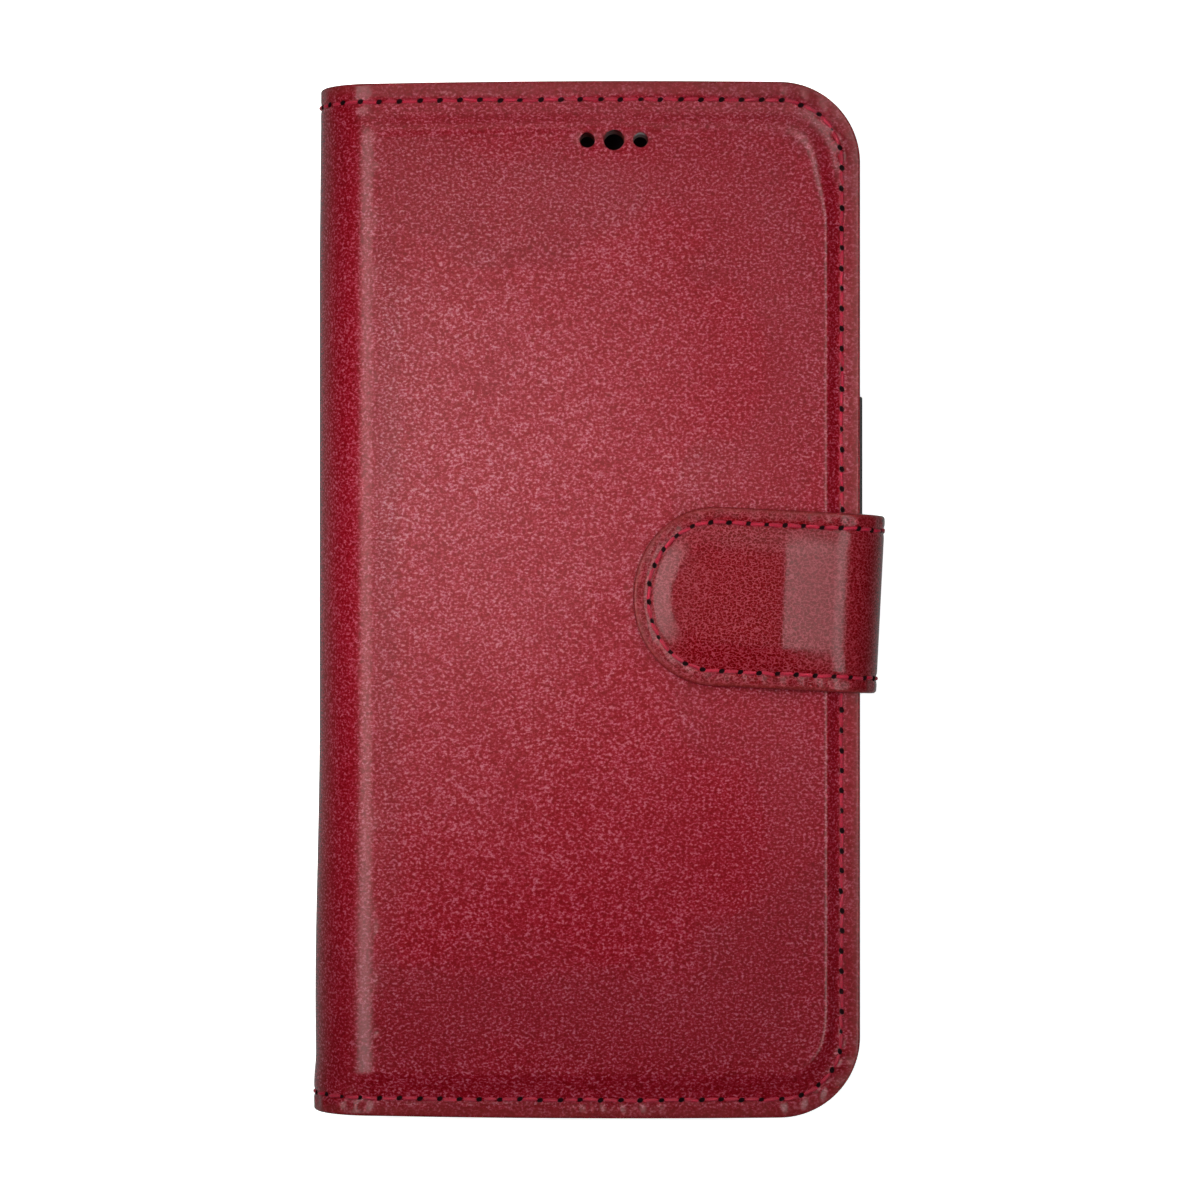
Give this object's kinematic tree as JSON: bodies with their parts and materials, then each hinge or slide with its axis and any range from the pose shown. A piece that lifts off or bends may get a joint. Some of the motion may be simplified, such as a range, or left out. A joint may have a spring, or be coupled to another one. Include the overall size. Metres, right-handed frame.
{
  "type": "phone wallet case",
  "caption": "Leather folio case with a soft shell for a phone, card pockets and a magnetic closing strap.",
  "frame": {"origin": "on the back cover's outer face, behind the middle of the phone", "axes": "+Z out of the front cover, +Y to the phone's top edge, +X to the side that the strap closes on"},
  "size_m": [0.0856, 0.1556, 0.0256],
  "materials": {
    "red_leather": "semi-gloss creased grain",
    "suede_lining": "matt suede microfibre",
    "grey_board": "matt pressed fibre board",
    "foam_sheet": "matt closed-cell foam",
    "red_thread": "waxed thread",
    "adhesive_sheet": "soft adhesive film",
    "black_soft_plastic": "satin moulded soft plastic",
    "plated_magnet": "nickel plated"
  },
  "bodies": {
    "back": {"back_leather": "red_leather", "back_board": "grey_board", "back_lining": "suede_lining", "back_thread": "red_thread", "strap_root": "red_leather", "shell_adhesive": "adhesive_sheet", "phone_shell": "black_soft_plastic"},
    "side_key_body": {"side_key": "black_soft_plastic"},
    "volume_up_body": {"volume_up_key": "black_soft_plastic"},
    "volume_down_body": {"volume_down_key": "black_soft_plastic"},
    "spine": {"spine_leather": "red_leather", "spine_stiffener": "grey_board", "spine_lining": "suede_lining", "spine_thread_upper": "red_thread", "spine_thread_lower": "red_thread"},
    "front": {"front_leather": "red_leather", "front_foam": "foam_sheet", "front_magnet": "plated_magnet", "front_board": "grey_board", "front_lining": "suede_lining", "front_thread": "red_thread", "card_pocket_1": "red_leather", "card_pocket_2": "red_leather", "card_pocket_3": "red_leather", "cash_pocket": "red_leather"},
    "strap_side": {"strap_side_leather": "red_leather", "strap_side_lining": "suede_lining", "strap_side_thread_upper": "red_thread", "strap_side_thread_lower": "red_thread"},
    "tongue": {"tongue_leather": "red_leather", "tongue_lining": "suede_lining", "tongue_thread": "red_thread", "strap_magnet": "plated_magnet"}
  },
  "joints": [
    {"name": "spine_fold", "type": "hinge", "parent": "back", "child": "spine", "pos_m": [-0.04201, 0, 0.00264], "axis": [0, -1, 0], "range_deg": [0, 180]},
    {"name": "cover_fold", "type": "hinge", "parent": "spine", "child": "front", "pos_m": [-0.04201, 0, 0.01766], "axis": [0, -1, 0], "range_deg": [0, 180]},
    {"name": "strap_root_fold", "type": "hinge", "parent": "back", "child": "strap_side", "pos_m": [0.03942, -0.00072, 0.00238], "axis": [0.0506, 0.9987, 0], "range_deg": [0, 90]},
    {"name": "strap_tip_fold", "type": "hinge", "parent": "strap_side", "child": "tongue", "pos_m": [0.03898, -0.0007, 0.02278], "axis": [0.0506, 0.9987, 0], "range_deg": [0, 90]},
    {"name": "side_key_press", "type": "slide", "parent": "back", "child": "side_key_body", "axis": [-1, 0, 0], "range_m": [0, 0.0004], "stiffness_N_per_m": 1000},
    {"name": "volume_up_press", "type": "slide", "parent": "back", "child": "volume_up_body", "axis": [1, 0, 0], "range_m": [0, 0.0004], "stiffness_N_per_m": 1000},
    {"name": "volume_down_press", "type": "slide", "parent": "back", "child": "volume_down_body", "axis": [1, 0, 0], "range_m": [0, 0.0004], "stiffness_N_per_m": 1000}
  ]
}
